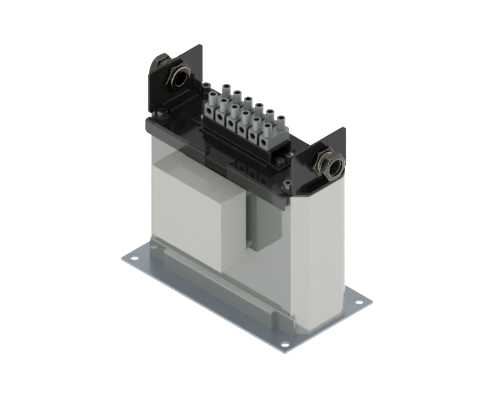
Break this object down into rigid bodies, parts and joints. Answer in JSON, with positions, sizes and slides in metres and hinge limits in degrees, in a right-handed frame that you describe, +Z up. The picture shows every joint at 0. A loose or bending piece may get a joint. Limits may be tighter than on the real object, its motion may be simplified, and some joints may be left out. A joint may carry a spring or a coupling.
{
  "type": "line reactor",
  "caption": "Enclosed iron-core line reactor on a drilled base plate, with a terminal strip and a cable gland bracket at each end.",
  "frame": {"origin": "centre of the base plate's underside", "axes": "+X along the case towards the right-hand gland, +Y from the front module to the back, +Z up"},
  "size_m": [0.163, 0.0924, 0.1444],
  "materials": {
    "zinc_plate": "satin",
    "pale_coat": "gloss",
    "panel_coat": "gloss",
    "clamp_coat": "gloss",
    "black_coat": "gloss",
    "core_steel": "satin",
    "insulation": "matte",
    "nylon": "matte",
    "enamelled_copper": "gloss",
    "nickel_brass": "polished",
    "terminal_brass": "satin",
    "zinc_screw": "satin",
    "black_screw": "satin",
    "seal_rubber": "matte",
    "strip_plastic": "gloss",
    "box_plastic": "gloss"
  },
  "bodies": {
    "root": {"base_plate": "zinc_plate", "lower_clamp_front": "panel_coat", "lower_clamp_rear": "panel_coat", "end_cap_left": "pale_coat", "end_cap_right": "pale_coat", "front_panel": "panel_coat", "rear_panel": "panel_coat", "core_e_stack": "core_steel", "core_i_yoke": "core_steel", "gap_spacers": "insulation", "yoke_pad": "insulation", "bobbin_left": "nylon", "bobbin_middle": "nylon", "bobbin_right": "nylon", "winding_left": "enamelled_copper", "winding_middle": "enamelled_copper", "winding_right": "enamelled_copper", "upper_clamp_front": "clamp_coat", "upper_clamp_rear": "clamp_coat", "top_plate": "black_coat", "bracket_left": "black_coat", "bracket_right": "black_coat", "gland_body_left": "nickel_brass", "gland_body_right": "nickel_brass", "lock_nut_left": "nickel_brass", "lock_nut_right": "nickel_brass", "gland_gasket_left": "seal_rubber", "gland_gasket_right": "seal_rubber", "dome_nut_left": "nickel_brass", "dome_nut_right": "nickel_brass", "cable_seal_left": "seal_rubber", "cable_seal_right": "seal_rubber", "terminal_riser": "black_coat", "terminal_block": "strip_plastic", "terminal_sleeves": "terminal_brass", "terminal_screws": "zinc_screw", "terminal_mount_screws": "zinc_screw", "riser_screws": "zinc_screw", "corner_screws": "black_screw", "corner_washers": "black_screw", "base_screws": "zinc_screw", "front_box": "box_plastic", "front_box_back": "box_plastic", "front_box_spacers": "zinc_screw", "front_box_screws": "zinc_screw"}
  },
  "joints": []
}
